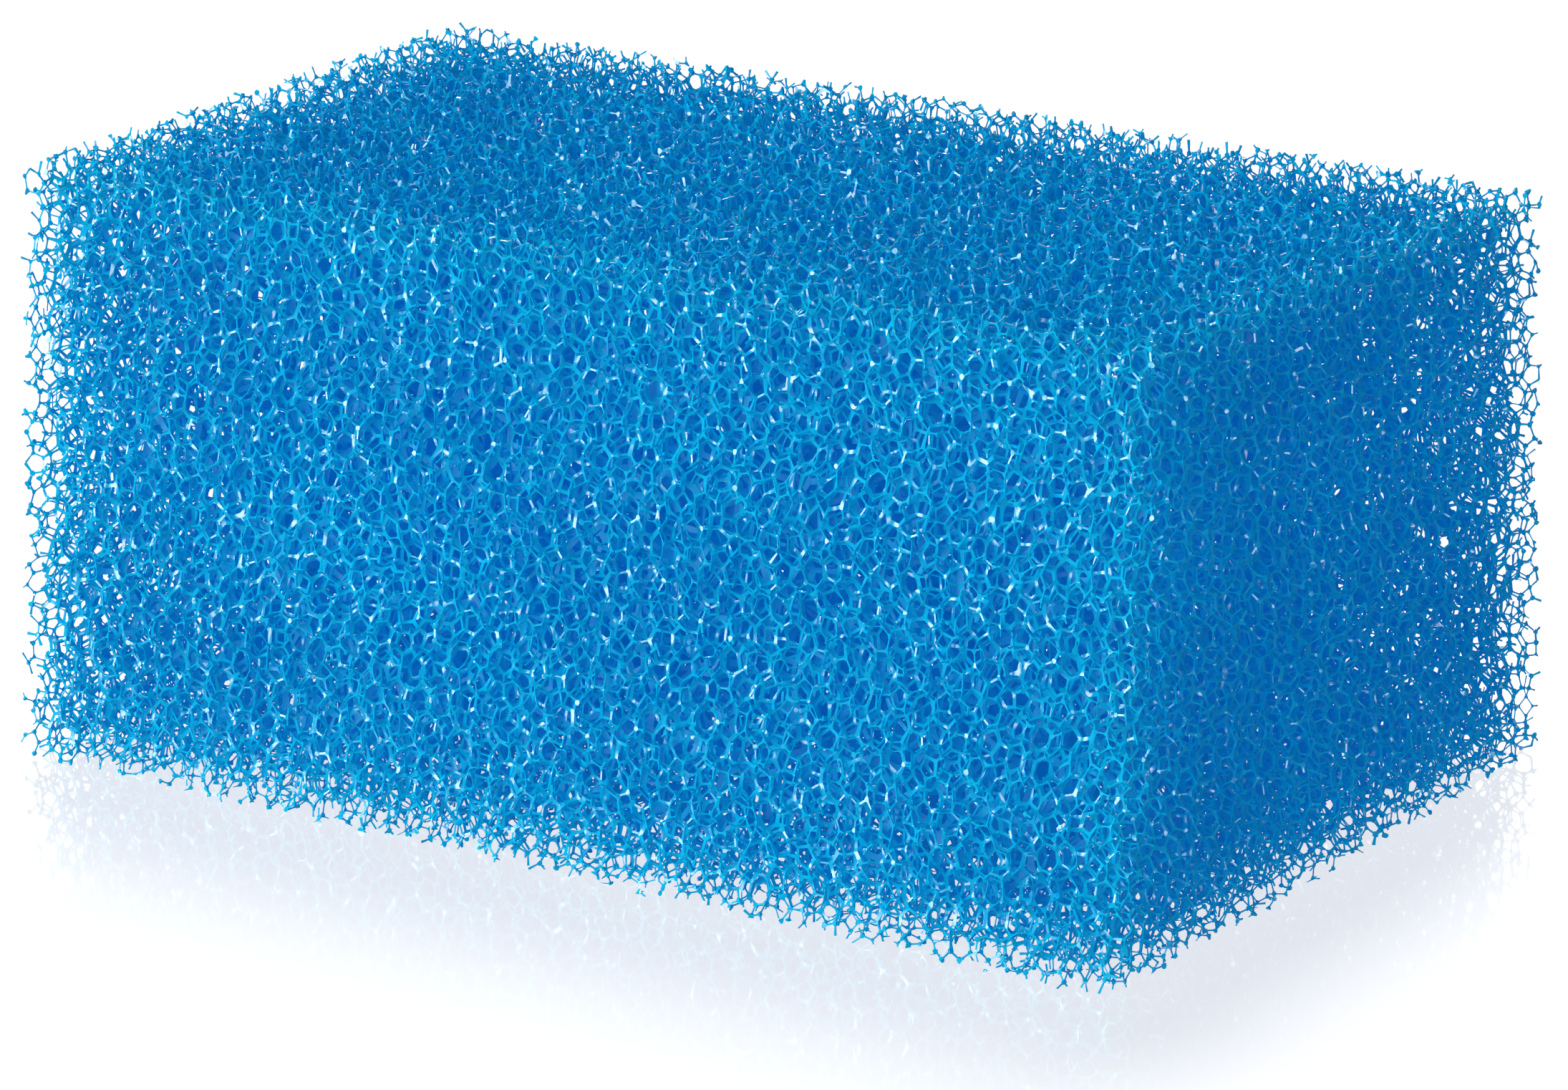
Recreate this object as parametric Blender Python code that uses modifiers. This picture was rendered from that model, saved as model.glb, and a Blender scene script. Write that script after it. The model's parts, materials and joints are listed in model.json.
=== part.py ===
"""Coarse open-cell foam block for a pond or aquarium filter.

The part is a single block of reticulated polyurethane foam, cut from sheet with a
blade. It stands on its base, with its long side along X, its depth along Y and its
height along Z. The origin is at the middle of the base of its bounding box.

A blade leaves soft foam a little out of square, so each face is its own cut:
the long faces lean in towards the top, the two ends draw in towards the front,
and the top falls a little towards the back.
"""

import bmesh
import bpy
from mathutils import Vector

# Driving dimensions, in metres
LENGTH = 0.1094       # along X, through the middle of the block
DEPTH = 0.0679        # along Y, through the middle of the block
HEIGHT = 0.0513       # along Z, through the middle of the block
FACE_LEAN = 0.0013    # how far each long face is in at the top, and out at the base
END_LEAN = 0.0009     # how far each end is in at the front, and out at the back
TOP_FALL = 0.0008     # how far the top is down at the back, and up at the front
EDGE_RADIUS = 0.0010  # the edges are soft by half a cell, where a cut opens the cells
EDGE_SEGMENTS = 3     # flats across each soft edge
TRIM = 0.012          # the blade starts from a blank this much larger on every side

SHARP_ANGLE = 0.5     # radians: an edge that bends more than this is shaded sharp

FOAM_BLUE = (0.008, 0.235, 0.572, 1.0)
FOAM_ROUGHNESS = 0.45


def remove_all():
    """Empties the scene."""
    for old in list(bpy.data.objects):
        bpy.data.objects.remove(old, do_unlink=True)


def new_collection(name):
    """A collection for the object's parts, linked to the scene."""
    made = bpy.data.collections.new(name)
    bpy.context.scene.collection.children.link(made)
    return made


def move_to(collection, thing):
    """Puts an object in this collection only."""
    for old in list(thing.users_collection):
        old.objects.unlink(thing)
    collection.objects.link(thing)


def foam_material():
    """Blue polyurethane with a satin surface."""
    made = bpy.data.materials.new("blue_foam")
    made.use_nodes = True
    shader = made.node_tree.nodes["Principled BSDF"]
    shader.inputs["Base Color"].default_value = FOAM_BLUE
    shader.inputs["Roughness"].default_value = FOAM_ROUGHNESS
    shader.inputs["Metallic"].default_value = 0.0
    return made


def block_cuts():
    """The six cuts, each as a point on it and the direction in which its waste lies."""
    half_length, half_depth, half_height = LENGTH / 2, DEPTH / 2, HEIGHT / 2
    lean = FACE_LEAN / half_height
    draw = END_LEAN / half_depth
    fall = TOP_FALL / half_depth
    return (
        (Vector((0, 0, 0)), Vector((0, 0, -1))),
        (Vector((0, 0, HEIGHT)), Vector((0, fall, 1))),
        (Vector((0, -half_depth, half_height)), Vector((0, -1, lean))),
        (Vector((0, half_depth, half_height)), Vector((0, 1, lean))),
        (Vector((-half_length, 0, half_height)), Vector((-1, -draw, 0))),
        (Vector((half_length, 0, half_height)), Vector((1, -draw, 0))),
    )


def trim(mesh, point, waste):
    """Cuts right through the mesh at a point, drops the waste side and closes the cut."""
    everything = mesh.verts[:] + mesh.edges[:] + mesh.faces[:]
    cut = bmesh.ops.bisect_plane(
        mesh, geom=everything, plane_co=point, plane_no=waste.normalized(), clear_outer=True
    )
    rim = [edge for edge in cut["geom_cut"] if isinstance(edge, bmesh.types.BMEdge)]
    bmesh.ops.contextual_create(mesh, geom=rim)


def centre_on_base(mesh):
    """Centres the mesh's bounding box on the Z axis and stands it on Z = 0."""
    low, high = (
        Vector([pick(vert.co[axis] for vert in mesh.verts) for axis in range(3)])
        for pick in (min, max)
    )
    shift = Vector((-(low.x + high.x) / 2, -(low.y + high.y) / 2, -low.z))
    bmesh.ops.translate(mesh, verts=mesh.verts, vec=shift)


def foam_block(collection, material):
    """The block: a rough blank, cut to shape on six sides, with slightly soft edges."""
    bpy.ops.mesh.primitive_cube_add(size=1, location=(0, 0, HEIGHT / 2))
    block = bpy.context.object
    block.name = block.data.name = "foam_block"
    block.scale = (LENGTH + 2 * TRIM, DEPTH + 2 * TRIM, HEIGHT + 2 * TRIM)
    bpy.ops.object.transform_apply(location=True, rotation=False, scale=True)

    mesh = bmesh.new()
    mesh.from_mesh(block.data)
    for point, waste in block_cuts():
        trim(mesh, point, waste)
    centre_on_base(mesh)
    bmesh.ops.recalc_face_normals(mesh, faces=mesh.faces)
    mesh.to_mesh(block.data)
    mesh.free()

    soft_edges = block.modifiers.new("soft_edges", "BEVEL")
    soft_edges.width = EDGE_RADIUS
    soft_edges.segments = EDGE_SEGMENTS

    block.data.materials.append(material)
    block.data.shade_smooth()
    block.data.set_sharp_from_angle(angle=SHARP_ANGLE)
    move_to(collection, block)


remove_all()
foam_block(new_collection("sponge_filter"), foam_material())
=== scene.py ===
"""Looks of the sponge filter: a block of coarse, bright blue, open-cell foam.

The foam is modelled as what it is, a network of struts. Seeds are scattered evenly in
a repeating cube, and the edges where three of the seeds' cells meet are the struts.
Four struts meet at every node. The cube is turned, stretched upwards as foam rises,
and repeated through the block, and the block's six cuts open the cells at its faces.
"""

import json
import math

import bpy
import numpy as np
from bpy.props import FloatProperty, FloatVectorProperty, IntProperty, PointerProperty
from mathutils import Euler, Matrix, Vector


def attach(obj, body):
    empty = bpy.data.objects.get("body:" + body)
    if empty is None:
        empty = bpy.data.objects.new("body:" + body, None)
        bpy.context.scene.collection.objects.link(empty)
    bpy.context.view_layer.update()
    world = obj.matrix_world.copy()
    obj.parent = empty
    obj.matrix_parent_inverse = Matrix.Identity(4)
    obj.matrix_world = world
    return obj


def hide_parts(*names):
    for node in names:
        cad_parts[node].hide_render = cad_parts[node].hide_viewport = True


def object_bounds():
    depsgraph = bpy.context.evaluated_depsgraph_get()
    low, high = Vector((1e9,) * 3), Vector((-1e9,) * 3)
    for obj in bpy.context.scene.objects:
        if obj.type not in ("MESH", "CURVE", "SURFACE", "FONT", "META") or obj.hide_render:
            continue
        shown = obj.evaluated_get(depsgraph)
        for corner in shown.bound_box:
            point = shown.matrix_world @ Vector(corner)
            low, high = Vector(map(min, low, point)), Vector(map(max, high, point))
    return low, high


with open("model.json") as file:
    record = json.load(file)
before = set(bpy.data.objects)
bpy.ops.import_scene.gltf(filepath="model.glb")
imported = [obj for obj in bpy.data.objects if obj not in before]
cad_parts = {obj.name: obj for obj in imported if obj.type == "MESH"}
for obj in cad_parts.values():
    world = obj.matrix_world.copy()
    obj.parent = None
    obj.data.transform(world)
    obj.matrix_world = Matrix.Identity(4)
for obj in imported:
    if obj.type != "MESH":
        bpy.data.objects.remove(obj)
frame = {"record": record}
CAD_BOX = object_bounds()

bl_info = {
    "name": "Open-cell filter foam",
    "version": (1, 0, 0),
    "blender": (4, 5, 0),
    "location": "View3D > Sidebar > Foam",
    "description": "Builds a cut block of reticulated filter foam as a network of struts",
    "category": "Mesh",
}

NODE = "foam_block"
BODY = "root"
TINY = 1e-9

# The network. Shares of a strut are from its first node, at 0, to its other one, at 1
SKIN_CELLS, HEART_CELLS = 800, 500  # in one repeat of each network
# Both networks stand askew, so that no rows of cells show on a cut
SKIN_TURN, HEART_TURN = Euler((0.5, 0.35, 0.8)), Euler((1.1, 0.2, 0.4))
NECKS = (0.22, 0.78)                # the shares between which a slim strut is slim
NECKED_FROM = NECKS[0] + 0.2        # a strut cut off at a smaller share has no neck
SHORTEST_STUB = 0.22                # no strut is cut off at a smaller share
# How thick the end of a cut strut is, in waists, at these shares: as the strut is there
STUB_SHARES = (0.2, 0.5, 0.85, 1.0)
STUB_SWELLS = (1.5, 1.0, 1.25, 1.6)
THICKNESS_SPREAD = 0.16             # how much the nodes' sizes vary, as a share
PLAIN_NODE = 0.84                   # the size of a node where struts have no slim middle
PLAIN_FADE = 0.3                    # the last share of the slim depth, where nodes shrink
HEART_SLENDER = 0.8                 # how large the heart's nodes are for its larger cells
OVERLAP = 0.0002                    # how far heart and skin reach into each other, in metres

# The tone of the struts: a smooth pattern, a random part, and painted light that makes them paler
# near the block's edges, as if light shone through the foam there
TONE_WAVE = 14                      # the smooth pattern's wavelength, in cells
SMOOTH_SHARE, RANDOM_SHARE = 0.6, 0.4
EDGE_LIGHT_REACH = 0.008                  # metres from the block's edges
MAP_MARGIN = 0.02                   # keeps the map off its own border

# Materials. A Mix node's colour sockets share their names with its others, so they are
# found by place
A_COLOUR, B_COLOUR, MIXED_COLOUR = 6, 7, 2
FOAM_IOR = 1.62                     # over clear polyurethane's 1.5, for a stronger gloss
DARK_TONE, LIGHT_TONE = 0.25, 0.8   # the tones that have the deepest and palest pigment
GLOSS_RANGE = (0.3, 0.7)            # the part of the noise that is spread over the gloss
FLOOR_GREY, FLOOR_ROUGHNESS, FLOOR_IOR = 0.06, 0.05, 2.2
MIRROR_LEVEL = 0.5                  # leaves the mirror as strong as the floor's IOR makes it
MIRROR_SHAPE = (1.7, 1.0, 0.0)      # how much distance along X, Y and Z ends the mirror
CARD_GREY, CARD_GLOW = 0.8, 0.95

# Light and stage, in metres. Each light has a name, a place, the length of its side,
# its share of the key light's power, and a colour
WHITE = (1.0, 1.0, 1.0)
LIGHTS = (
    ("key", (-0.45, -0.95, 0.22), 0.5, 1.0, WHITE),
    ("fill", (0.35, -1.05, 0.3), 0.36, 0.35, WHITE),
    ("top", (-0.5, 0.8, 0.6), 0.22, 0.2, WHITE),
    ("side", (1.0, -0.15, 0.15), 0.2, 0.13, (0.6, 0.78, 1.0)),
)
LIT_POINT = (0.0, 0.0, 0.02)
CARD_AWAY, CARD_HALF, CARD_TOP = 2.6, 1.1, 1.7  # behind the block, half its width, its top

# How the four struts of a node pair up: the web between struts i and j has one corner
# at the node, and WEB[i, j] numbers it. A strut runs between three webs.
PAIRS = np.array([(0, 1), (0, 2), (0, 3), (1, 2), (1, 3), (2, 3)])
WEB = np.full((4, 4), -1)
WEBS = len(PAIRS)
WEB[PAIRS[:, 0], PAIRS[:, 1]] = WEB[PAIRS[:, 1], PAIRS[:, 0]] = np.arange(WEBS)
OTHERS = np.array([[other for other in range(4) if other != strut] for strut in range(4)])
# Whether a strut and then the others in turn are an even (1) or odd (-1) rearrangement
PARITY = np.array([1, -1, 1, -1])


# --- The foam's geometry ---------------------------------------------------------------


def unit(vectors):
    """Each vector divided by its length."""
    return vectors / np.maximum(np.linalg.norm(vectors, axis=-1, keepdims=True), TINY)


def even_seeds(count, rounds, seed):
    """Seeds in a cube whose side is the cube root of their count, repeating on all sides.

    They start at random. In each round a seed moves by `step` times the sum, over the
    seeds nearer than `reach`, of the unit vector away from each times how far it is
    inside reach.
    """
    reach, step = 1.3, 0.22
    side = count ** (1 / 3)
    seeds = np.random.default_rng(seed).random((count, 3)) * side
    for _ in range(rounds):
        apart = seeds[:, None] - seeds[None]
        apart -= side * np.round(apart / side)
        far = np.linalg.norm(apart, axis=2)
        push = np.clip(reach - far, 0, None) / np.maximum(far, TINY)
        np.fill_diagonal(push, 0)
        seeds = (seeds + step * np.einsum("ij,ijk->ik", push, apart)) % side
    return seeds, side


def cell_edges(seeds, side):
    """The edges of the seeds' cells: each one's two ends, three seeds and two end seeds.

    The points as far from seed a as from b and c are a line: it passes through the
    centre x of the circle on a, b and c, along the unit vector u of (b - a) x (c - a).
    A fourth seed d keeps the part where (x + t u) . (d - a) < |d - a|^2 / 2, so the edge
    runs from the greatest lower limit on t to the least upper limit.
    """
    near = 28  # only this many of the nearest seeds can share a cell's edge with a seed
    apart = seeds[None] - seeds[:, None]
    apart -= side * np.round(apart / side)
    far = np.linalg.norm(apart, axis=2)
    np.fill_diagonal(far, np.inf)
    ids = np.argsort(far, axis=1)[:, :near]
    around = np.take_along_axis(apart, ids[:, :, None], 1)
    half = (around**2).sum(2) / 2
    b_at, c_at = np.triu_indices(near, 1)
    b, c = around[:, b_at], around[:, c_at]
    bb, cc, bc = 2 * half[:, b_at], 2 * half[:, c_at], (b * c).sum(2)
    spread = np.maximum(2 * (bb * cc - bc**2), TINY)
    centre = (cc * (bb - bc) / spread)[..., None] * b + (bb * (cc - bc) / spread)[..., None] * c
    along = unit(np.cross(b, c))
    slope = np.einsum("npk,nqk->npq", along, around)
    room = half[:, None] - np.einsum("npk,nqk->npq", centre, around)
    limit = room / np.where(np.abs(slope) > TINY, slope, np.inf)
    upper = np.where(slope > TINY, limit, np.inf)
    lower = np.where(slope < -TINY, limit, -np.inf)
    top, low = upper.min(2), lower.max(2)
    a = np.arange(len(seeds))[:, None]
    found = (top > low) & (a < ids[:, b_at]) & (a < ids[:, c_at])
    a, pair = np.nonzero(found)
    start = seeds[a] + centre[a, pair] + along[a, pair] * low[a, pair][:, None]
    end = seeds[a] + centre[a, pair] + along[a, pair] * top[a, pair][:, None]
    cells = np.stack([a, ids[a, b_at[pair]], ids[a, c_at[pair]]], 1)
    caps = np.stack([ids[a, lower[a, pair].argmax(1)], ids[a, upper[a, pair].argmin(1)]], 1)
    return start, end, cells, caps


class Tile:
    """One repeat of the strut network, with four struts at every node.

    side: how far the repeats are apart. place: the nodes. to, step, back: the node that
    each strut leads to, in which repeat, and which of that node's struts it is. own,
    theirs: for each strut, which of its node's six web corners it runs from and which
    of the other node's it runs to, in turn to the right about the strut. cups: for each
    of a node's four cells, the three web corners around it.
    """


def strut_tile(count, seed):
    """Works out a Tile with this many cells.

    An edge's end is a node, named by the four seeds it is equally far from. Then the
    nodes settle: each moves along the sum of its struts' pulls, and a strut pulls by
    how much it is longer than the mean. Last, the sign of the volume of each node's
    four seeds says which way round its struts are.
    """
    spread_rounds, settle_rounds, settle_step = 45, 9, 0.12
    seeds, side = even_seeds(count, spread_rounds, seed)
    start, end, cells, caps = cell_edges(seeds, side)
    ends = np.concatenate([start, end])
    fours = np.sort(np.concatenate([np.c_[cells, caps[:, 0]], np.c_[cells, caps[:, 1]]]), 1)
    key = fours @ (np.int64(count) ** np.arange(3, -1, -1))
    _, first, node = np.unique(key, return_index=True, return_inverse=True)
    place, fours = ends[first], fours[first]
    image = np.round((ends - place[node]) / side).astype(int)
    edges = len(start)
    left, right = node[:edges], node[edges:]
    step = image[edges:] - image[:edges]

    def slot(nodes):
        """Which strut of the node this is: its number is that of the cell it doesn't touch."""
        touches = (fours[nodes][:, :, None] == cells[:, None]).any(2)
        return (~touches).argmax(1)

    tile = Tile()
    tile.side = side
    tile.to = np.full((len(place), 4), -1)
    tile.step = np.zeros((len(place), 4, 3), int)
    tile.back = np.full((len(place), 4), -1)
    at_left, at_right = slot(left), slot(right)
    tile.to[left, at_left], tile.to[right, at_right] = right, left
    tile.step[left, at_left], tile.step[right, at_right] = step, -step
    tile.back[left, at_left], tile.back[right, at_right] = at_right, at_left
    assert (tile.to >= 0).all(), "every node has four struts"
    for _ in range(settle_rounds):
        reach = place[tile.to] + side * tile.step - place[:, None]
        long = np.linalg.norm(reach, axis=2, keepdims=True)
        place = place + settle_step * (reach * (1 - long.mean() / long)).sum(1)
    tile.place = place

    same = fours[tile.to][:, :, None, :] == fours[:, OTHERS][..., None]
    tile.own = np.broadcast_to(WEB[np.arange(4)[:, None], OTHERS], (len(place), 4, 3)).copy()
    tile.theirs = WEB[tile.back[:, :, None], same.argmax(3)]
    apart = seeds[fours] - ends[first][:, None]
    apart -= side * np.round(apart / side)
    volume = np.linalg.det(apart[:, :3] - apart[:, 3:])
    odd = np.sign(volume)[:, None] * PARITY > 0
    for order in (tile.own, tile.theirs):
        order[odd] = order[odd][:, [0, 2, 1]]
    cups = WEB[OTHERS, OTHERS[:, [1, 2, 0]]]
    tile.cups = np.broadcast_to(cups, (len(place), 4, 3)).copy()
    tile.cups[~odd] = tile.cups[~odd][:, [0, 2, 1]]
    return tile


def under_cuts(points):
    """How far each point is under each of the block's six cuts, in metres.

    It is (p - q) . n, with p a point on the cut, q the point and n out of the block.
    """
    cuts = [mount for mount in frame["record"]["mounts"] if mount["kind"] == "flat_face"]
    on = np.array([cut["pos_m"] for cut in cuts], float)
    out = unit(np.array([cut["axis"] for cut in cuts], float))
    return (on * out).sum(1) - points @ out.T


def depth_in_block(points, soft_edge):
    """How deep each point lies under the block's skin, in metres, and below 0 outside.

    With d the distances under the six cuts and r the radius of the soft edges, it is
    the least of d where that is over r, and r - |max(r - d, 0)| nearer to the skin.
    """
    under = under_cuts(points)
    short = np.clip(soft_edge - under, 0, None)
    rounded = soft_edge - np.linalg.norm(short, axis=-1)
    return np.where(short.any(-1), rounded, under.min(-1))


def nearness_to_edges(points, reach):
    """How near each point is to an edge of the block: 1 on it, and 0 past `reach`.

    It is 1 less the second smallest distance under the six cuts, as a share of reach.
    """
    second = np.partition(under_cuts(points), 1, axis=-1)[..., 1]
    return np.clip(1 - second / reach, 0, 1)


def laid_in_block(places, cell, axes):
    """Where the places of a repeating network lie in the block.

    The columns of `axes` are the steps in the block for one step along each of the
    network's axes. After them, X, Y and Z each move by a sine of the one before in
    turn, so that no two repeats match.
    """
    wander, waves = 0.16 * cell, np.array((9.1, 11.3, 7.7)) * cell
    spots = places @ axes.T
    return spots + wander * np.sin(2 * np.pi * np.roll(spots, 1, axis=-1) / waves)


def nodes_between(tile, cell, axes, shallow, deep, soft_edge):
    """The nodes of the repeated tile that lie between two depths under the skin.

    For each, in turn: its place, its depth, its number in the tile, where its four
    struts lead, and which node is there, or -1 if that is past the two depths.
    """
    # Every repeat of the tile that reaches the block
    low, high = np.array(CAD_BOX[0]), np.array(CAD_BOX[1])
    corners = np.array([(x, y, z) for x in (0, 1) for y in (0, 1) for z in (0, 1)])
    reach = (low + corners * (high - low)) @ np.linalg.inv(axes).T / tile.side
    first = np.floor(reach.min(0)).astype(int) - 1
    across = np.ceil(reach.max(0)).astype(int) + 1 - first
    repeats = first + np.indices(across).reshape(3, -1).T
    place = laid_in_block(tile.place + tile.side * repeats[:, None], cell, axes)
    depth = depth_in_block(place, soft_edge)
    repeat, local = np.nonzero((depth > shallow) & (depth < deep))
    number = np.full(place.shape[:2], -1)
    number[repeat, local] = np.arange(len(local))

    # The nodes that their struts lead to
    to = tile.to[local]
    there = repeats[repeat][:, None] + tile.step[local]
    far_node = laid_in_block(tile.place[to] + tile.side * there, cell, axes)
    inside = ((there >= first) & (there < first + across)).all(2)
    at = np.ravel_multi_index(np.moveaxis(np.clip(there - first, 0, across - 1), 2, 0), across)
    other = np.where(inside, number[at, to], -1)
    return place[repeat, local], depth[repeat, local], local, far_node, other


def smooth_noise(points, scale, seed):
    """A smooth pattern from 0 to 1: half the mean of some sines, times `contrast`, and 0.5.

    Each sine runs along a random direction, with 0.6 to 1.7 waves in each `scale`.
    """
    waves, contrast = 7, 1.6
    rng = np.random.default_rng(seed)
    ways = unit(rng.normal(size=(waves, 3))) * rng.uniform(0.6, 1.7, (waves, 1)) / scale
    swell = np.sin(2 * np.pi * (points @ ways.T + rng.random(waves)))
    return 0.5 + 0.5 * np.clip(swell.mean(1) * contrast, -1, 1)


class Foam:
    """The surface of a whole network.

    points: where they are. map: the same points on the foam's own map. ring: which
    ring of points each is in, because an edge between two rings runs along a strut.
    quads, triangles: the faces. quad_part, triangle_part: the slice that each is in.
    flat_quads, flat_triangles: whether each is shaded flat.
    """


def joined(groups):
    """The faces of groups of faces, with the slice each is in and whether it is flat."""
    faces, parts, flat = zip(*groups)
    flat = [np.full(len(group), is_flat) for group, is_flat in zip(faces, flat)]
    return np.concatenate(faces), np.concatenate(parts), np.concatenate(flat)


def strut_network(cells, cell, rise, node_size, waist, shallow, deep, detail, turn, slices,
                  seed, soft_edge, ragged):
    """The closed surface of every strut and node between two depths under the skin.

    A web corner lies at node + size * unit(a + b), where a and b point along the two
    struts on either side of it, and a node has six. Three of them, around one strut,
    are the profile that is carried along the strut to the other node's three. Down
    to the depth `detail`, two more rings lie on the way, `waist` off the strut's line
    at the two shares of its length in NECKS, turned between the two ends' directions
    by the same shares. A strut that a cut goes through ends there in a flat face.
    """
    rng = np.random.default_rng(seed)
    tile = strut_tile(cells, seed)
    axes = np.diag((cell, cell, cell * rise)) @ np.array(turn.to_matrix())
    node, depth, local, far_node, other = nodes_between(
        tile, cell, axes, shallow, deep, soft_edge
    )

    # Six web corners a node
    way = unit(far_node - node[:, None])
    thick = 1 + THICKNESS_SPREAD * rng.standard_normal(len(node)).clip(-2, 2)
    fine = np.clip((detail - depth) / max(PLAIN_FADE * detail, TINY), 0, 1)
    size = node_size * thick * (PLAIN_NODE + (1 - PLAIN_NODE) * fine)
    corner = unit(way[:, PAIRS[:, 0]] + way[:, PAIRS[:, 1]]) * size[:, None, None]
    webs = node[:, None] + corner

    # Struts between two nodes are listed once, and struts that lead out of the range
    start, which = np.nonzero((other < 0) | (other > np.arange(len(node))[:, None]))
    stop = other[start, which]
    whole = stop >= 0
    line = far_node[start, which] - node[start]
    along = unit(line)
    own, theirs = tile.own[local[start], which], tile.theirs[local[start], which]
    from_ring = start[:, None] * WEBS + own

    def square_to(vectors):
        """The directions of vectors at each strut, less what runs along the strut."""
        return unit(vectors - (vectors * along[:, None]).sum(2, keepdims=True) * along[:, None])

    near_side = square_to(corner[start[:, None], own])
    far_side = np.where(
        whole[:, None, None], square_to(corner[stop[:, None], theirs]), near_side
    )

    # How much of its line each strut covers, and whether it has a slim middle
    far_depth = depth_in_block(far_node[start, which], soft_edge)
    cut_at = shallow + rng.uniform(*ragged, len(start))
    drop = depth[start] - far_depth
    leaves = ~whole & (far_depth <= shallow)
    share = np.where(leaves, (depth[start] - cut_at) / np.maximum(drop, TINY), 1.0)
    share = np.clip(share, SHORTEST_STUB, 1.0)
    waists = waist * np.sqrt(thick[start] * np.where(whole, thick[stop], thick[start]))
    slim = (np.minimum(depth[start], far_depth) < detail) & (share > NECKED_FROM)
    slim_whole = slim & whole

    def ring(chosen, share_of_line, sides, wide):
        """Three points around each chosen strut, this share of the way along it."""
        on_line = node[start[chosen]] + share_of_line * line[chosen]
        return on_line[:, None] + unit(sides[chosen]) * wide[:, None, None]

    near, far = NECKS
    first, second, cut = np.flatnonzero(slim), np.flatnonzero(slim_whole), np.flatnonzero(~whole)
    first_necks = ring(first, near, far * near_side + near * far_side, waists[first])
    second_necks = ring(second, far, near * near_side + far * far_side, waists[second])
    swell = np.interp(share[cut], STUB_SHARES, STUB_SWELLS)
    cuts = ring(cut, share[cut, None], near_side, waists[cut] * swell)

    def numbers(chosen, base):
        """The point numbers of the chosen struts' rings, which start from base."""
        return base + 3 * (np.cumsum(chosen) - 1)[:, None] + np.arange(3)

    after_webs = WEBS * len(node)
    after_first = after_webs + 3 * len(first)
    after_second = after_first + 3 * len(second)
    first_ring, second_ring = numbers(slim, after_webs), numbers(slim_whole, after_first)
    cut_ring = numbers(~whole, after_second)
    to_ring = np.where(whole[:, None], stop[:, None] * WEBS + theirs, cut_ring)

    # Slices along X. A strut goes with the node that it starts from
    borders = np.quantile(node[:, 0], np.linspace(0, 1, slices + 1)[1:-1])
    part = np.searchsorted(borders, node[:, 0])
    strut_part = part[start]

    def sleeve(a, b, chosen, flat=False):
        """Three quads a strut, from ring a to ring b, facing away from its line."""
        a, b = a[chosen], b[chosen]
        quads = np.stack([a, np.roll(a, -1, 1), np.roll(b, -1, 1), b], 2)
        return quads.reshape(-1, 4), np.repeat(strut_part[chosen], 3), flat

    # Cups stand between a node's struts, and flat lids close a strut's ends at a border
    cups = (np.arange(len(node))[:, None, None] * WEBS + tile.cups[local]).reshape(-1, 3)
    crosses = whole & (strut_part != part[np.maximum(stop, 0)])
    quads = [
        sleeve(from_ring, to_ring, ~slim),
        sleeve(from_ring, first_ring, slim),
        sleeve(first_ring, second_ring, slim_whole, flat=True),
        sleeve(second_ring, to_ring, slim_whole),
        sleeve(first_ring, to_ring, slim & ~whole, flat=True),
    ]
    triangles = [
        (cups, np.repeat(part, 4), False),
        (to_ring[~whole], strut_part[~whole], True),
        (to_ring[crosses], strut_part[crosses], True),
        (to_ring[crosses][:, ::-1], part[stop[crosses]], True),
    ]

    foam = Foam()
    foam.points = np.concatenate(
        [rings.reshape(-1, 3) for rings in (webs, first_necks, second_necks, cuts)]
    )
    # The base is pressed flat
    foam.points[:, 2] = np.maximum(foam.points[:, 2], CAD_BOX[0][2])
    foam.quads, foam.quad_part, foam.flat_quads = joined(quads)
    foam.triangles, foam.triangle_part, foam.flat_triangles = joined(triangles)

    # The map: across it runs the tone, up it runs how far from the nodes a point is
    tone = smooth_noise(node, TONE_WAVE * cell, seed) * SMOOTH_SHARE
    tone += RANDOM_SHARE * rng.random(len(node))
    # Painted light: struts near the block's edges get a paler tone, as if lit through from the
    # sides
    tone += (1 - tone) * nearness_to_edges(node, EDGE_LIGHT_REACH)
    struts = np.r_[first, second, cut]
    owner = np.r_[np.arange(len(node)).repeat(WEBS), start[struts].repeat(3)]
    away = np.concatenate([
        np.zeros(after_webs), np.ones(after_second - after_webs), share[cut].repeat(3)
    ])
    foam.map = MAP_MARGIN + (1 - 2 * MAP_MARGIN) * np.stack([tone[owner], away], 1)
    strut_rings = len(node) + np.arange(len(struts))
    foam.ring = np.r_[np.arange(len(node)).repeat(WEBS), strut_rings.repeat(3)]
    return foam


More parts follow.
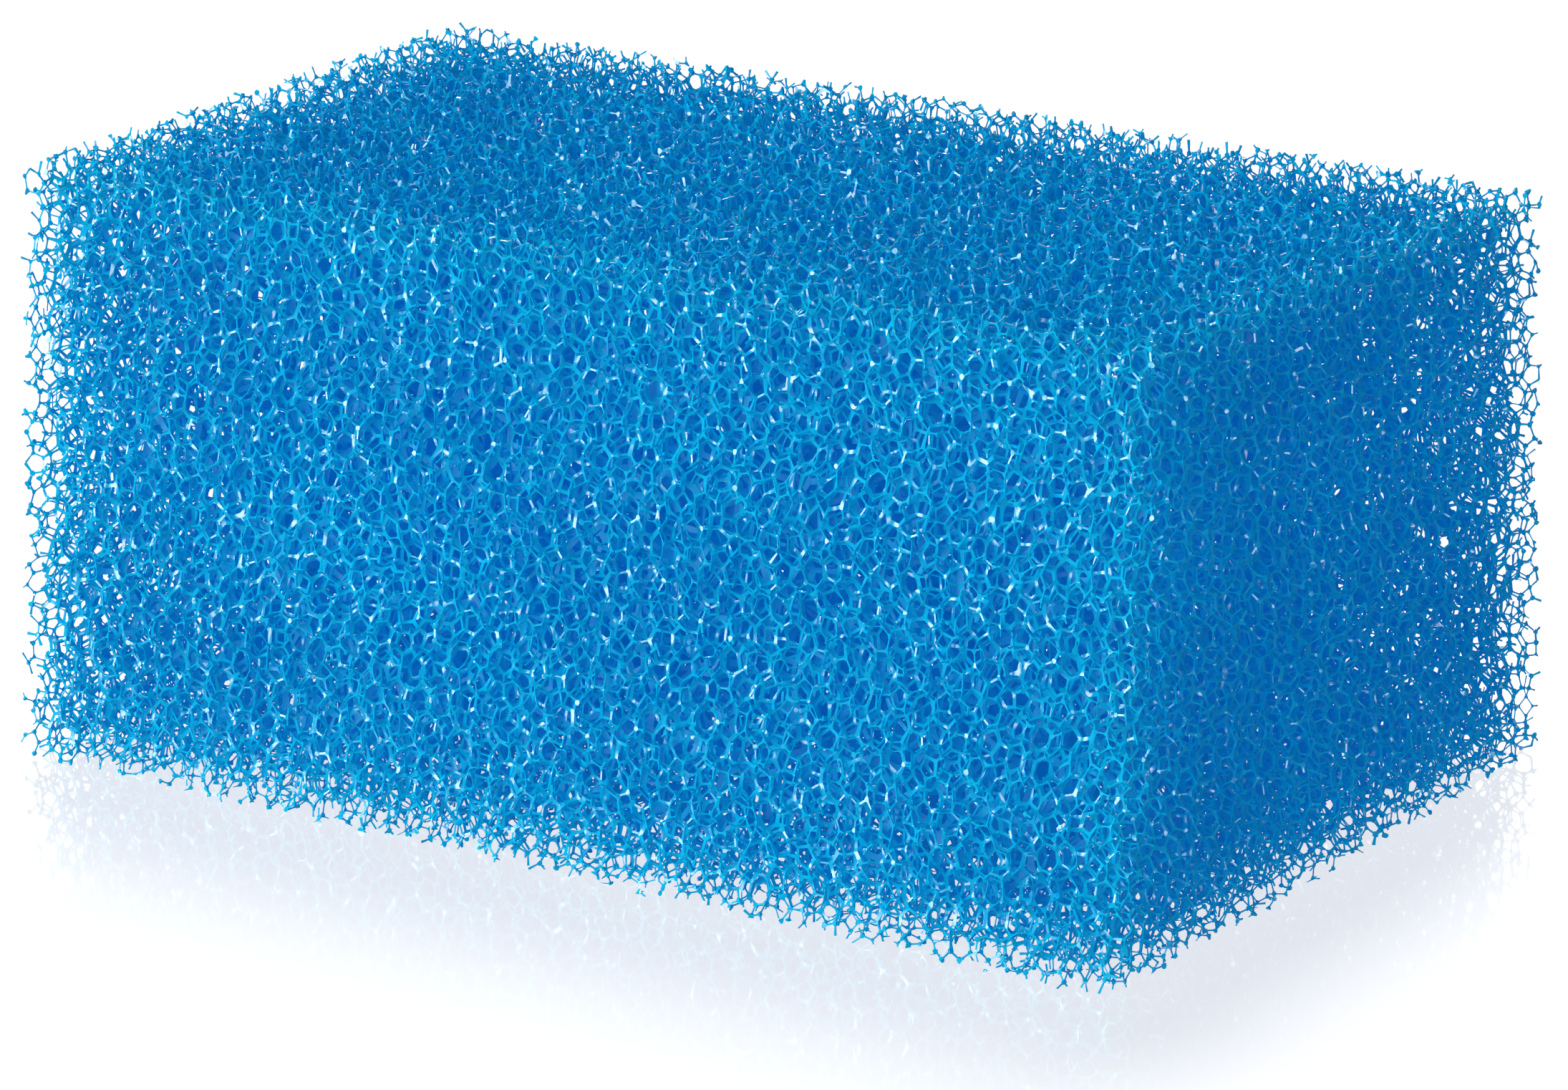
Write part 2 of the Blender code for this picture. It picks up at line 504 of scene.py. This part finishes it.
def mesh_of(foam, part, name):
    """A mesh of one slice: its quads and triangles, and only the points they use.

    An edge between two rings runs along a strut. It is a ridge between two cells, so it
    is sharp, while the faces around one cell are smooth from strut to strut, apart from
    the flat ones.
    """
    my_quads, my_triangles = foam.quad_part == part, foam.triangle_part == part
    quads, triangles = foam.quads[my_quads], foam.triangles[my_triangles]
    flat = np.concatenate([foam.flat_quads[my_quads], foam.flat_triangles[my_triangles]])
    used, index = np.unique(np.concatenate([quads.ravel(), triangles.ravel()]), return_inverse=True)
    count = np.concatenate([np.full(len(quads), 4), np.full(len(triangles), 3)])
    mesh = bpy.data.meshes.new(name)
    mesh.vertices.add(len(used))
    mesh.vertices.foreach_set("co", foam.points[used].astype(np.float32).ravel())
    mesh.loops.add(len(index))
    mesh.loops.foreach_set("vertex_index", index.astype(np.int32))
    mesh.polygons.add(len(count))
    mesh.polygons.foreach_set("loop_start", (np.cumsum(count) - count).astype(np.int32))
    mesh.update(calc_edges=True)
    sharp = mesh.attributes.new("sharp_face", "BOOLEAN", "FACE")
    sharp.data.foreach_set("value", flat)
    ends = np.empty(2 * len(mesh.edges), np.int32)
    mesh.edges.foreach_get("vertices", ends)
    ring = foam.ring[used][ends].reshape(-1, 2)
    ridge = mesh.attributes.new("sharp_edge", "BOOLEAN", "EDGE")
    ridge.data.foreach_set("value", ring[:, 0] != ring[:, 1])
    own_map = mesh.uv_layers.new(name="OFBake")
    own_map.uv.foreach_set("vector", foam.map[used][index].astype(np.float32).ravel())
    mesh.validate()
    return mesh


# --- Materials -------------------------------------------------------------------------


def grain_group():
    """Pigment and gloss that wander from strut to strut, read from the foam's own map."""
    # The map's tone holds random pigment and also painted light, paler near the block's edges
    group = bpy.data.node_groups.get("foam_grain")
    if group:
        return group
    group = bpy.data.node_groups.new("foam_grain", "ShaderNodeTree")
    sockets = group.interface
    sockets.new_socket("Map", in_out="INPUT", socket_type="NodeSocketVector")
    for name, value in (("Scale", 9.0), ("Mottling", 0.5), ("Waist Tone", 0.1)):
        socket = sockets.new_socket(name, in_out="INPUT", socket_type="NodeSocketFloat")
        socket.default_value = value
    for name in ("Tone", "Gloss"):
        sockets.new_socket(name, in_out="OUTPUT", socket_type="NodeSocketFloat")
    nodes, links = group.nodes, group.links
    given, out = nodes.new("NodeGroupInput"), nodes.new("NodeGroupOutput")
    parts = nodes.new("ShaderNodeSeparateXYZ")
    links.new(given.outputs["Map"], parts.inputs[0])

    def noise(detail, offset):
        """Blender's noise over the map, moved by `offset` so that no two are alike."""
        moved = nodes.new("ShaderNodeVectorMath")
        moved.operation = "ADD"
        moved.inputs[1].default_value = (offset, -offset, offset)
        links.new(given.outputs["Map"], moved.inputs[0])
        made = nodes.new("ShaderNodeTexNoise")
        made.inputs["Detail"].default_value = detail
        links.new(moved.outputs[0], made.inputs["Vector"])
        links.new(given.outputs["Scale"], made.inputs["Scale"])
        return made.outputs["Fac"]

    def maths(operation, first, second):
        """One Math node on two sockets."""
        made = nodes.new("ShaderNodeMath")
        made.operation = operation
        links.new(first, made.inputs[0])
        links.new(second, made.inputs[1])
        return made.outputs[0]

    pigment = nodes.new("ShaderNodeMix")
    links.new(given.outputs["Mottling"], pigment.inputs["Factor"])
    links.new(parts.outputs["X"], pigment.inputs["A"])
    links.new(noise(detail=3.0, offset=0.0), pigment.inputs["B"])
    lift = maths("MULTIPLY", parts.outputs["Y"], given.outputs["Waist Tone"])
    links.new(maths("ADD", pigment.outputs["Result"], lift), out.inputs["Tone"])
    links.new(noise(detail=1.0, offset=3.7), out.inputs["Gloss"])
    return group


def foam_material(name, dark, light, glow, smoothest, roughest):
    """Clear blue polyurethane: pigment from dark to light and a gloss that varies a little.

    `glow` is painted light: a constant emission that stands in for the light that soaks into the
    struts and comes out of them again, whatever the lamps do.
    """
    material = bpy.data.materials.new(name)
    material.use_nodes = True
    material.diffuse_color = (*light, 1.0)
    nodes, links = material.node_tree.nodes, material.node_tree.links
    shader = nodes["Principled BSDF"]
    shader.inputs["IOR"].default_value = FOAM_IOR
    # Painted glow: the struts give off this light themselves, as if it had come through them
    shader.inputs["Emission Color"].default_value = (*glow, 1.0)
    shader.inputs["Emission Strength"].default_value = 1.0
    where = nodes.new("ShaderNodeUVMap")
    where.uv_map = "OFBake"
    grain = nodes.new("ShaderNodeGroup")
    grain.node_tree = grain_group()
    links.new(where.outputs["UV"], grain.inputs["Map"])
    pigment = nodes.new("ShaderNodeValToRGB")
    for stop, tone, colour in zip(
        pigment.color_ramp.elements, (DARK_TONE, LIGHT_TONE), (dark, light)
    ):
        stop.position = tone
        stop.color = (*colour, 1.0)
    links.new(grain.outputs["Tone"], pigment.inputs["Fac"])
    links.new(pigment.outputs["Color"], shader.inputs["Base Color"])
    gloss = nodes.new("ShaderNodeMapRange")
    gloss.inputs["From Min"].default_value = GLOSS_RANGE[0]
    gloss.inputs["From Max"].default_value = GLOSS_RANGE[1]
    gloss.inputs["To Min"].default_value = smoothest
    gloss.inputs["To Max"].default_value = roughest
    links.new(grain.outputs["Gloss"], gloss.inputs["Value"])
    links.new(gloss.outputs["Result"], shader.inputs["Roughness"])
    return material


def seen_or_shed(nodes, links, seen, shed):
    """Light that the camera sees as `seen` and that falls on things as the colour `shed`."""
    path = nodes.new("ShaderNodeLightPath")
    which = nodes.new("ShaderNodeMix")
    which.data_type = "RGBA"
    links.new(path.outputs["Is Camera Ray"], which.inputs["Factor"])
    which.inputs[A_COLOUR].default_value = (*shed, 1.0)
    if isinstance(seen, float):
        which.inputs[B_COLOUR].default_value = (seen, seen, seen, 1.0)
    else:
        links.new(seen, which.inputs[B_COLOUR])
    return which.outputs[MIXED_COLOUR]


def floor_material(shown, shed, half, near, far):
    """White, lit from below, and polished round the block.

    The distance from the block is the length of max(|p| - half, 0) * MIRROR_SHAPE. Up to
    `near` the floor is a full mirror and glows by `shown`, and from `far` on it is plain
    white, with a smooth step between. It sheds the colour `shed` on the block.
    """
    material = bpy.data.materials.new("polished_floor")
    material.use_nodes = True
    nodes, links = material.node_tree.nodes, material.node_tree.links
    shader = nodes["Principled BSDF"]
    shader.inputs["Base Color"].default_value = (FLOOR_GREY, FLOOR_GREY, FLOOR_GREY, 1.0)
    shader.inputs["Roughness"].default_value = FLOOR_ROUGHNESS
    shader.inputs["IOR"].default_value = FLOOR_IOR
    shader.inputs["Emission Strength"].default_value = 1.0
    place = nodes.new("ShaderNodeTexCoord").outputs["Object"]
    for operation, value in (
        ("ABSOLUTE", None), ("SUBTRACT", half), ("MAXIMUM", (0, 0, 0)),
        ("MULTIPLY", MIRROR_SHAPE), ("LENGTH", None),
    ):
        step = nodes.new("ShaderNodeVectorMath")
        step.operation = operation
        links.new(place, step.inputs[0])
        if value:
            step.inputs[1].default_value = value
        place = step.outputs["Value" if operation == "LENGTH" else "Vector"]

    def fades(at_block, away):
        """A value that goes smoothly from one at the block to the other past `far`."""
        made = nodes.new("ShaderNodeMapRange")
        made.interpolation_type = "SMOOTHSTEP"
        ends = {"From Min": near, "From Max": far, "To Min": at_block, "To Max": away}
        for name, value in ends.items():
            made.inputs[name].default_value = value
        links.new(place, made.inputs["Value"])
        return made.outputs["Result"]

    links.new(fades(MIRROR_LEVEL, 0.0), shader.inputs["Specular IOR Level"])
    glow = seen_or_shed(nodes, links, fades(shown, 1.0), shed)
    links.new(glow, shader.inputs["Emission Color"])
    return material


def studio_world(sky):
    """A dim studio, its colour and strength in `sky`, that looks white to the camera."""
    world = bpy.data.worlds.new("studio")
    world.use_nodes = True
    nodes, links = world.node_tree.nodes, world.node_tree.links
    links.new(seen_or_shed(nodes, links, 1.0, sky), nodes["Background"].inputs["Color"])
    return world


def card_material():
    """A white card, lit evenly."""
    material = bpy.data.materials.new("white_card")
    material.use_nodes = True
    shader = material.node_tree.nodes["Principled BSDF"]
    shader.inputs["Base Color"].default_value = (CARD_GREY, CARD_GREY, CARD_GREY, 1.0)
    shader.inputs["Emission Color"].default_value = (*WHITE, 1.0)
    shader.inputs["Emission Strength"].default_value = CARD_GLOW
    return material


# --- Settings --------------------------------------------------------------------------


class FoamSizes(bpy.types.PropertyGroup):
    """Sizes of the strut network, in metres."""

    cell: FloatProperty(
        name="Cell", description="Side of a cube that holds one cell's share of the foam",
        default=0.00205, min=0.0005, unit="LENGTH",
    )
    rise: FloatProperty(
        name="Rise", description="How much taller the cells are than wide", default=1.28,
    )
    node_size: FloatProperty(
        name="Node", description="From a node's middle to the corner of each web",
        default=0.00023, unit="LENGTH",
    )
    waist: FloatProperty(
        name="Waist", description="From a strut's line to its edge, in its slim middle",
        default=0.00008, unit="LENGTH",
    )
    skin: FloatProperty(
        name="Skin", description="How deep the finely modelled cells reach",
        default=0.0040, unit="LENGTH",
    )
    detail: FloatProperty(
        name="Slim", description="How deep the struts have a slim middle",
        default=0.00125, unit="LENGTH",
    )
    heart_scale: FloatProperty(
        name="Heart scale", description="How much larger the cells of the heart are",
        default=2.25,
    )
    soft_edge: FloatProperty(
        name="Soft edge", description="Radius of the block's edges", default=0.0004, unit="LENGTH",
    )
    stub_in: FloatProperty(
        name="Deepest stub", description="How far under a cut the shortest stub ends",
        default=0.0003, unit="LENGTH",
    )
    stub_out: FloatProperty(
        name="Longest stub", description="How far a stub may stand out of a cut",
        default=0.0003, unit="LENGTH",
    )
    skin_slices: IntProperty(
        name="Skin slices", description="Pieces that the skin is made in", default=12, min=1,
    )
    heart_slices: IntProperty(
        name="Heart slices", description="Pieces that the heart is made in", default=2, min=1,
    )
    seed: IntProperty(name="Seed", description="Picks the arrangement of the cells", default=4)


class FoamColours(bpy.types.PropertyGroup):
    """Colours of the foam and how glossy its struts are."""

    skin_dark: FloatVectorProperty(
        name="Skin, dark", description="The deepest pigment in the skin",
        subtype="COLOR", size=3, default=(0.0005, 0.35, 0.57),
    )
    skin_light: FloatVectorProperty(
        name="Skin, light", description="The palest pigment in the skin",
        subtype="COLOR", size=3, default=(0.003, 0.53, 0.74),
    )
    # The heart's pigments are a little darker than the skin's: painted shade for the cells deep
    # inside the block
    heart_shaded_dark: FloatVectorProperty(
        name="Heart, dark", description="The deepest pigment in the heart",
        subtype="COLOR", size=3, default=(0.0005, 0.34, 0.58),
    )
    heart_shaded_pale: FloatVectorProperty(
        name="Heart, light", description="The palest pigment in the heart",
        subtype="COLOR", size=3, default=(0.002, 0.44, 0.70),
    )
    # Painted glow: a constant emission on the struts that stands in for light soaking through them
    glow: FloatVectorProperty(
        name="Glow", description="Light that soaks into the struts and comes out again",
        subtype="COLOR", size=3, default=(0.0, 0.047, 0.154),
    )
    smoothest: FloatProperty(
        name="Smoothest", description="Roughness of the glossiest struts", default=0.1,
        subtype="FACTOR", min=0, max=1,
    )
    roughest: FloatProperty(
        name="Roughest", description="Roughness of the dullest struts", default=0.2,
        subtype="FACTOR", min=0, max=1,
    )
    deep_roughness: FloatProperty(
        name="Deep roughness", description="Roughness of the heart's struts", default=0.6,
        subtype="FACTOR", min=0, max=1,
    )


class StageSettings(bpy.types.PropertyGroup):
    """The camera, the floor and the lights."""

    azimuth: FloatProperty(
        name="Azimuth", description="How far the camera stands round to the right",
        default=math.radians(32.3), unit="ROTATION",
    )
    elevation: FloatProperty(
        name="Elevation", description="How far the camera stands above the horizon",
        default=math.radians(17.7), unit="ROTATION",
    )
    distance: FloatProperty(
        name="Distance", description="From the middle of the block's base to the camera",
        default=0.615, unit="LENGTH",
    )
    lens: FloatProperty(name="Lens", description="Focal length in millimetres", default=164.4)
    aim_right: FloatProperty(
        name="Aim right", description="How far right of the base's middle the camera aims",
        default=0.001, unit="LENGTH",
    )
    aim_up: FloatProperty(
        name="Aim up", description="How far above the base's middle the camera aims",
        default=0.01786, unit="LENGTH",
    )
    floor: FloatProperty(name="Floor", description="Side of the floor", default=8.0, unit="LENGTH")
    floor_glow: FloatProperty(
        name="Floor glow", description="How bright the floor looks before it mirrors anything",
        default=0.75,
    )
    mirror_near: FloatProperty(
        name="Mirror", description="How far round the block the floor is a full mirror",
        default=0.004, unit="LENGTH",
    )
    mirror_far: FloatProperty(
        name="Mirror's end", description="How far round the block the floor mirrors anything",
        default=0.034, unit="LENGTH",
    )
    floor_shed: FloatVectorProperty(
        name="Floor light", description="The cool light that the floor sheds on the block",
        subtype="COLOR", size=3, default=(0.05, 0.08, 0.12),
    )
    sky: FloatVectorProperty(
        name="Sky", description="The cool light from all round",
        subtype="COLOR", size=3, default=(0.03, 0.05, 0.075),
    )
    key: FloatProperty(
        name="Key light", description="Power of the main light in watts", default=9.0,
    )


# --- Operators -------------------------------------------------------------------------


def link_piece(name, mesh, material):
    """Puts a piece of the foam in the scene, riding on the body in place of its solid."""
    mesh.materials.append(material)
    piece = bpy.data.objects.new(name, mesh)
    bpy.context.scene.collection.objects.link(piece)
    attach(piece, BODY)
    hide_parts(NODE)


class FOAM_OT_skin(bpy.types.Operator):
    """Build the outer cells of the block, cut open at its faces"""

    bl_idname = "foam.skin"
    bl_label = "Foam skin"

    def execute(self, context):
        sizes, colours = context.scene.foam_sizes, context.scene.foam_colours
        foam = strut_network(
            cells=SKIN_CELLS, cell=sizes.cell, rise=sizes.rise, node_size=sizes.node_size,
            waist=sizes.waist, shallow=0.0, deep=sizes.skin, detail=sizes.detail,
            turn=SKIN_TURN, slices=sizes.skin_slices, seed=sizes.seed,
            soft_edge=sizes.soft_edge, ragged=(-sizes.stub_out, sizes.stub_in),
        )
        material = foam_material(
            "blue_foam", colours.skin_dark, colours.skin_light, colours.glow,
            colours.smoothest, colours.roughest,
        )
        for part in range(sizes.skin_slices):
            name = f"foam_skin_{part + 1:02d}"
            link_piece(name, mesh_of(foam, part, name), material)
        return {"FINISHED"}


class FOAM_OT_heart(bpy.types.Operator):
    """Fill the block's middle with larger cells, which show only deep between the outer ones"""

    bl_idname = "foam.heart"
    bl_label = "Foam heart"

    def execute(self, context):
        sizes, colours = context.scene.foam_sizes, context.scene.foam_colours
        scale = sizes.heart_scale
        foam = strut_network(
            cells=HEART_CELLS, cell=sizes.cell * scale, rise=sizes.rise,
            node_size=sizes.node_size * scale * HEART_SLENDER, waist=sizes.waist * scale,
            shallow=sizes.skin - OVERLAP, deep=math.inf, detail=0.0, turn=HEART_TURN,
            slices=sizes.heart_slices, seed=sizes.seed + 1, soft_edge=sizes.soft_edge,
            ragged=(0.0, OVERLAP),
        )
        # The heart's darker pigments are painted shade for the deep cells; its higher roughness is
        # real
        material = foam_material(
            "deep_foam_painted_shade", colours.heart_shaded_dark, colours.heart_shaded_pale, colours.glow,
            colours.deep_roughness, colours.deep_roughness,
        )
        for part in range(sizes.heart_slices):
            name = f"foam_heart_{part + 1:02d}"
            link_piece(name, mesh_of(foam, part, name), material)
        return {"FINISHED"}


def area_light(name, place, side, watts, colour):
    """Puts a square light in the scene, at a place and facing the block."""
    light = bpy.data.lights.new(name, "AREA")
    light.shape = "SQUARE"
    light.size = side
    light.energy = watts
    light.color = colour
    lamp = bpy.data.objects.new(name, light)
    lamp.location = place
    facing = Vector(LIT_POINT) - Vector(place)
    lamp.rotation_euler = facing.to_track_quat("-Z", "Y").to_euler()
    bpy.context.scene.collection.objects.link(lamp)


def flat_piece(name, corners, material):
    """Puts a flat piece of the stage in the scene, with these four corners."""
    mesh = bpy.data.meshes.new(name)
    mesh.from_pydata(corners, [], [(0, 1, 2, 3)])
    mesh.materials.append(material)
    piece = bpy.data.objects.new(name, mesh)
    bpy.context.scene.collection.objects.link(piece)


class FOAM_OT_stage(bpy.types.Operator):
    """Set up the floor, the soft lights and the camera"""

    bl_idname = "foam.stage"
    bl_label = "Stage"

    def execute(self, context):
        stage, scene = context.scene.foam_stage, context.scene
        az, el = stage.azimuth, stage.elevation
        back = Vector((math.sin(az) * math.cos(el), -math.cos(az) * math.cos(el), math.sin(el)))
        right = Vector((math.cos(az), math.sin(az), 0.0))
        up = back.cross(right)

        half = stage.floor / 2
        flat_piece(
            "floor", [(-half, -half, 0), (half, -half, 0), (half, half, 0), (-half, half, 0)],
            floor_material(
                stage.floor_glow, stage.floor_shed, (CAD_BOX[1][0], CAD_BOX[1][1], 0.0),
                stage.mirror_near, stage.mirror_far,
            ),
        )
        away = -back.xy.normalized().to_3d() * CARD_AWAY
        side = right * CARD_HALF
        top = Vector((0.0, 0.0, CARD_TOP))
        flat_piece(
            "card", [away + side, away - side, away - side + top, away + side + top],
            card_material(),
        )
        for name, place, side_length, share, colour in LIGHTS:
            area_light(name, place, side_length, stage.key * share, colour)
        scene.world = studio_world(stage.sky)
        scene.view_settings.view_transform = "Standard"

        camera = bpy.data.cameras.new("camera")
        camera.lens = stage.lens
        camera.clip_start = 0.01
        eye = bpy.data.objects.new("camera", camera)
        aim = right * stage.aim_right + up * stage.aim_up
        eye.matrix_world = Matrix.Translation(aim + back * stage.distance) @ Matrix(
            (right, up, back)
        ).transposed().to_4x4()
        scene.collection.objects.link(eye)
        scene.camera = eye
        return {"FINISHED"}


class FOAM_PT_panel(bpy.types.Panel):
    """Lists the foam's operators and settings"""

    bl_label = "Filter foam"
    bl_space_type = "VIEW_3D"
    bl_region_type = "UI"
    bl_category = "Foam"

    def draw(self, context):
        for operator in OPERATORS:
            self.layout.operator(operator.bl_idname)
        for settings in SETTINGS:
            group = getattr(context.scene, settings)
            box = self.layout.box()
            for name in group.bl_rna.properties.keys():
                if name not in ("rna_type", "name"):
                    box.prop(group, name)


OPERATORS = (FOAM_OT_skin, FOAM_OT_heart, FOAM_OT_stage)
SETTINGS = {"foam_sizes": FoamSizes, "foam_colours": FoamColours, "foam_stage": StageSettings}


def register():
    """Adds the classes to Blender and the settings to every scene."""
    for cls in (*SETTINGS.values(), *OPERATORS, FOAM_PT_panel):
        bpy.utils.register_class(cls)
    for name, cls in SETTINGS.items():
        setattr(bpy.types.Scene, name, PointerProperty(type=cls))


def unregister():
    """Takes them away again."""
    for name in SETTINGS:
        delattr(bpy.types.Scene, name)
    for cls in (FOAM_PT_panel, *OPERATORS, *SETTINGS.values()):
        bpy.utils.unregister_class(cls)


def main():
    """Builds the foam and its stage."""
    register()
    bpy.ops.foam.skin()
    bpy.ops.foam.heart()
    bpy.ops.foam.stage()


if __name__ == "__main__":
    main()
